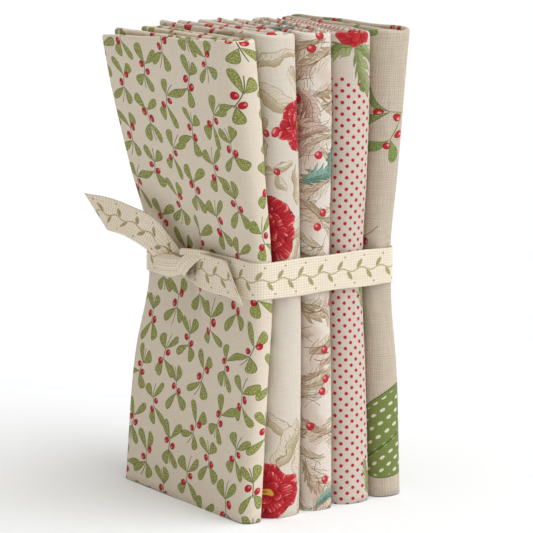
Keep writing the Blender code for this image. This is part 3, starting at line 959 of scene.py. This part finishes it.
def foliage_print(draw):
    """Crowded brushed leaves in tan and cream, with red berries and a teal leaf here and there."""
    cloth = cloth_places(draw, FOLDED_WIDTH)
    colour = yarn_ground(draw, cloth, "#E6DDD2", "#E0D5C7")
    bent = hand_drawn(draw, cloth, 0.05, 10)
    drawn = hand_drawn(draw, bent, 0.45, 0.5)
    for shift, length, width, light, dark in FOLIAGE_LAYERS:
        place = scattered_places(draw, drawn, (24, 24), shift, 0.5, (0, 360))[0]
        stalk = draw("VectorMath ADD", place, (length * 0.42, 0, 0))
        colour = print_brushed_leaf(draw, colour, stalk, length, width, light, dark, "#84694A", 5)
        for bend in SPRAY_BENDS:
            spray = beside_stem(draw, place, bend)
            colour = print_stem(draw, colour, spray, -9, 13, 0.3, "#8A6E4C")
    cloud = draw("TexNoise", cloth, 0.05, 1, noise_dimensions="2D")
    colour = screen(draw, colour, "#B88D7C", cloud, 0.50, 0.70, 0.3)
    dusty = ("#D6BEAE", "#9A7663", "#7E5D49", 6)
    colour = print_brushed_leaves(draw, colour, drawn, FOLIAGE_REPEAT, DUSTY_LEAVES, *dusty)
    teal = ("#8FAEA0", "#4E7468", "#466A5F", 3)
    colour = print_brushed_leaves(draw, colour, drawn, FOLIAGE_REPEAT, TEAL_LEAVES, *teal)
    reds = ("#C8323C", "#96202A", "#EDA3A0")
    return print_berries(draw, colour, cloth, FOLIAGE_REPEAT, FOLIAGE_BERRIES, *reds)


DOT_SPACING = 6.6
DOT_RADIUS = 1.05
DOT_REPEAT = (125, 300)
DOT_LEAVES = [
    (-4, 267, 206, 17, 11), (-3, 267, -30, 18, 11), (-3, 266, -70, 30, 14), (9, 112, 100, 22, 8),
    (11, 92, 84, 22, 8), (10, 2, 106, 24, 8), (60, 40, 80, 22, 8),
]


def dot_print(draw):
    """Red pin dots in staggered rows on cream, with a rose and pale green leaves now and then."""
    cloth = cloth_places(draw, FOLDED_WIDTH)
    ground = yarn_ground(draw, cloth, "#DACEC3", "#D5C8BB")
    half = DOT_SPACING / sqrt(2) / 2
    place = draw("VectorRotate", cloth, None, radians(45), rotation_type="Z_AXIS")
    place = draw("VectorMath WRAP", place, (half, half, 1), (-half, -half, -1))
    away = draw("VectorMath LENGTH", place)
    colour = screen(draw, ground, "#BC1D2F", away, DOT_RADIUS * 1.15, DOT_RADIUS * 0.85)
    drawn = hand_drawn(draw, cloth, 0.10, 6, 1)
    clear = motif_place(draw, drawn, DOT_REPEAT, -3, 264, 0)
    clear = draw("VectorMath LENGTH", clear)
    colour = screen(draw, colour, ground, clear, 18, 17)
    ragged = hand_drawn(draw, drawn, 0.40, 0.8)
    green = ("#A3AA78", "#747C48", "#616A3A", 5.5)
    colour = print_brushed_leaves(draw, colour, ragged, DOT_REPEAT, DOT_LEAVES, *green)
    place = nearest_rose(draw, drawn, DOT_REPEAT, [(-3, 277, 30, 11)])
    return print_rose(draw, colour, place, "#CC4A4C")


LINEN_REPEAT = (104, 300)
LINEN_SPRIGS = [(-3, 226, 172), (0, 212, 248), (26, 262, 140), (52, 214, 40), (30, 172, 250), (70, 150, 120),
                (40, 118, 20), (-16, 154, 200), (76, 92, 300), (20, 276, 10), (76, 270, 60), (24, 14, 330)]
BROAD_LEAVES = [(-19, 19, 38, 84, 52), (70, 6, 118, 60, 30)]


def linen_print(draw):
    """Large sprigs and one broad drop-spotted leaf, on taupe yarns that each show."""
    cloth = cloth_places(draw, FOLDED_WIDTH)
    colour = yarn_ground(draw, cloth, "#D1C4B3", "#C7B8A3", 1, 14)
    green = stipple(draw, cloth, "#93A765", "#6F8343")
    drawn = hand_drawn(draw, cloth, 0.06, 7)
    for x, y, turn in LINEN_SPRIGS:
        place = motif_place(draw, drawn, LINEN_REPEAT, x, y, turn)
        stem = beside_stem(draw, place, 0.02)
        colour = print_stem(draw, colour, stem, -13, 1, 0.5, "#8C8A58")
        colour = print_leaf_pair(draw, colour, stem, 0.0, 1, radians(-38), 17, 7, green, "#566830")
        for x_berry, y_berry in ((4.5, -0.5), (-3.5, 3)):
            berry = draw("VectorMath SUBTRACT", place, (x_berry, y_berry, 0))
            colour = print_berry(draw, colour, berry, 2.6, "#C4242F", "#8E1420", "#F0B0B0")
    softly_drawn = hand_drawn(draw, cloth, 0.025, 8)
    for x, y, turn, length, width in BROAD_LEAVES:
        place = motif_place(draw, softly_drawn, LINEN_REPEAT, x, y, turn)
        leaf = leaf_shape(draw, place, length, width, 0.55, 0.85)
        shape, per_mm = leaf
        colour = print_leaf(draw, colour, leaf, "#7C8A4B", "#53622E", 0.6)
        drop = draw("VectorMath WRAP", place, (2.6, 2.9, 1), (-2.6, -2.9, -1))
        drop = draw("VectorMath MULTIPLY", drop, (0.65, 1, 0))
        drop = draw("VectorMath LENGTH", drop)
        drop = draw("Math SUBTRACT", 1.1, drop)
        inside = draw("Math ADD", shape, -2.4 * per_mm)
        inside = draw("Math MULTIPLY", inside, 4 / per_mm)
        drop = draw("Math MINIMUM", drop, inside)
        colour = screen(draw, colour, "#E2DFC9", drop, 0, 0.35)
        colour = print_vein(draw, colour, place, leaf, length, 0.8, "#53652E")
    return colour


def back_of_print(draw):
    """The unprinted wrong side."""
    return yarn_ground(draw, cloth_places(draw), "#EDE5D8", "#E5DBCB")


def bare_tape(draw):
    """Undyed cords."""
    return yarn_ground(draw, cloth_places(draw), "#FAEDD9", "#F4E7D0", 0.8)


VINE_STEP = 14


def vine_on_tape(draw):
    """A small olive vine of leaves and dots along the middle of the tape."""
    cloth = cloth_places(draw)
    colour = bare_tape(draw)
    olive = "#A3935A"
    middle = TAPE_WIDTH / 2
    for x, y, turn in ((0, 0.6, 52), (VINE_STEP / 2, -0.6, -52)):
        place = motif_place(draw, cloth, (VINE_STEP, 100), x, middle + y, turn)
        leaf = leaf_shape(draw, place, 6.6, 3, 0.8, 0.8)
        colour = screen(draw, colour, olive, leaf[0], 0, 0.4 * leaf[1], 0.85)
        dot = draw("VectorMath DISTANCE", place, (9, 0, 0))
        colour = screen(draw, colour, olive, dot, 0.8, 0.5, 0.8)
    x = draw("SeparateXYZ", cloth)
    swing = draw("Math MULTIPLY", x, 2 * pi / VINE_STEP)
    swing = draw("Math SINE", swing)
    off = draw("Math MULTIPLY_ADD", swing, -1, x.node.outputs["Y"])
    off = draw("Math SUBTRACT", off, middle)
    off = draw("Math ABSOLUTE", off)
    return screen(draw, colour, olive, off, 0.5, 0.25, 0.75)


# Quilting cotton, plain weave, screen printed with flat inks: matt, with a faint grain of bumped threads,
# faint painted shade in the holes between them, and no shine.
PRINTED_COTTONS = {
    "sprig": new_cloth("printed_cotton_leaf_sprigs", sprig_print),
    "bloom": new_cloth("printed_cotton_roses", rose_print),
    "foliage": new_cloth("printed_cotton_tan_foliage", foliage_print),
    "dot": new_cloth("printed_cotton_pin_dots", dot_print),
    # Linen-look cotton, spun with slubs: drier, and every yarn shows, with deeper painted shade between the
    # yarns.
    "linen": new_cloth("printed_linen_look_cotton", linen_print, LINEN_THREADS, 0.20, 0.25, 0.92),
}
# The wrong side of the same cottons: bleached and unprinted, so it is the palest cloth here.
COTTON_BACK = new_cloth("unprinted_back_of_cotton", back_of_print)
# Undyed cotton tape in a basket weave: thick cords with small holes between them, darkened by painted shade.
COTTON_TAPE = new_cloth("woven_cotton_tape", vine_on_tape, TAPE_THREADS, 0.30, 0.35)
TAPE_BACK = new_cloth("wrong_side_of_cotton_tape", bare_tape, TAPE_THREADS, 0.30, 0.35)


def paper_sweep():
    """White background paper: matt and even, with a faint fibre."""
    material, shader, draw = matt("white_paper_sweep", 0.9, 0.1)
    place = draw("TexCoord", output="Object")
    fibre = draw("TexNoise", place, 400, 3, 0.6)
    tone = draw("Mix", fibre, "#FBFDFF", "#F6F9FB", data_type="RGBA")
    material.node_tree.links.new(tone, shader.inputs["Base Color"])
    return material


# ---- making the pieces
held = []
columns = Meet._fields[2:]
for piece, sides in zip(PIECES, zip(columns, columns[1:])):
    points, cloth = cloth_points(piece, sides)
    near_tape = np.abs(points[..., 2] - TAPE_Z) < TAPE_WIDTH / 2 + 2
    held.append(points[near_tape][:, :2])
    finishes = [PRINTED_COTTONS[piece.name], COTTON_BACK]
    sheet = sheet_object("cotton_" + piece.name, [(points, cloth)], CLOTH_THICK, finishes)
    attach(sheet, "root")
    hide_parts("fat_quarter_" + piece.name)

held = np.round(np.concatenate(held), 2)
strands = [band_grid(held)]
for rows, shown, printed_outside in STRANDS:
    strands.append(strand_grid(rows, shown, printed_outside, strands[-1][1][-1, 0, 0]))
tape = sheet_object("woven_tape", strands, TAPE_THICK, [COTTON_TAPE, TAPE_BACK])
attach(tape, "root")
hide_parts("tape")

# ---- floor, light and camera
floor_mesh = bpy.data.meshes.new("floor")
floor_mesh.from_pydata([(-4, -4, 0), (4, -4, 0), (4, 4, 0), (-4, 4, 0)], [], [(0, 1, 2, 3)])
floor_mesh.materials.append(paper_sweep())
floor = in_scene("floor", floor_mesh)

# White all round: it lights softly, and the camera sees it a little brighter than it lights.
world = bpy.data.worlds.new("studio")
bpy.context.scene.world = world
world.use_nodes = True
tree = world.node_tree
around = tree.nodes["Background"]
around.inputs["Color"].default_value = linear("#FFF6E9")
around.inputs["Strength"].default_value = 0.325
seen = add(tree, "Background", "#FFFFFF", 1)
to_camera = add(tree, "LightPath", output="Is Camera Ray")
both = add(tree, "MixShader", to_camera, around.outputs[0], seen)
tree.links.new(both, tree.nodes["World Output"].inputs["Surface"])


def wide_light(name, azimuth, elevation, spread, strength, colour):
    """A far, wide softbox. Azimuth 0 is in front, towards -Y, and 90 is +X. Spread is how wide it looks."""
    lamp = bpy.data.lights.new(name, "SUN")
    lamp.angle = radians(spread)
    lamp.energy = strength
    lamp.color = linear(colour)[:3]
    in_scene(name, lamp).rotation_euler = (radians(90 - elevation), 0, radians(azimuth))


wide_light("key_softbox", azimuth=40, elevation=45, spread=70, strength=1.95, colour="#F8FBFF")
wide_light("overhead_softbox", azimuth=0, elevation=88, spread=70, strength=1.1, colour="#FFFFFF")

camera = in_scene("camera", bpy.data.cameras.new("camera"))
camera.data.lens = 158.6
camera.data.sensor_width = 36
camera.location = (-0.7951, -1.1174, 0.3729)
camera.rotation_euler = (radians(80.01), 0, radians(-35.8))
camera.data.clip_start = 0.05
bpy.context.scene.camera = camera
bpy.context.scene.view_settings.view_transform = "Standard"
